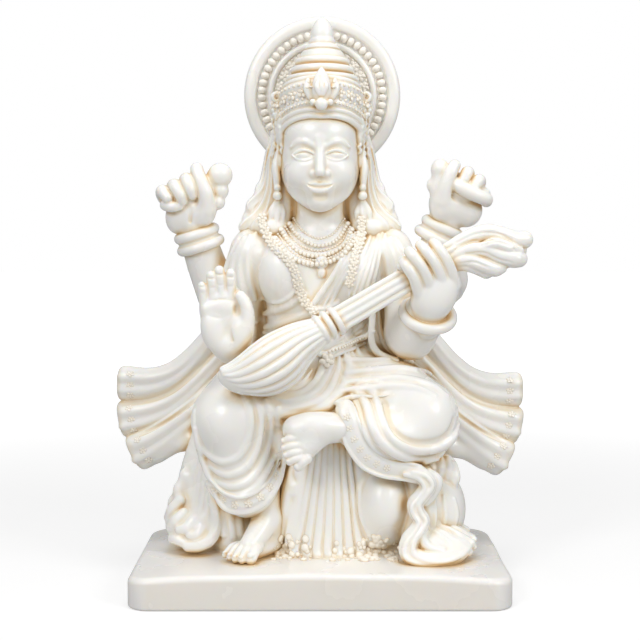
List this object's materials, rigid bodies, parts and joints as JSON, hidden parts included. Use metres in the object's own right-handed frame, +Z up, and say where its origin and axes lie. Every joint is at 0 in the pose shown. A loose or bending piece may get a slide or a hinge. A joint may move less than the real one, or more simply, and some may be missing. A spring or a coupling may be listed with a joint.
{
  "type": "saraswati figure",
  "caption": "Seated four-armed figure with a veena, halo and flying scarf ends, cast in ivory resin in one piece with its rectangular plinth.",
  "frame": {"origin": "middle of the plinth's underside", "axes": "+Z up, +X to the right of a person who faces the figure, +Y towards its back"},
  "size_m": [0.1527, 0.076, 0.2035],
  "materials": {
    "ivory_resin": "satin-gloss ivory cast resin with marble dust, warm tan wash left in the hollows"
  },
  "bodies": {
    "root": {"saraswati_figure": "ivory_resin"}
  },
  "joints": []
}
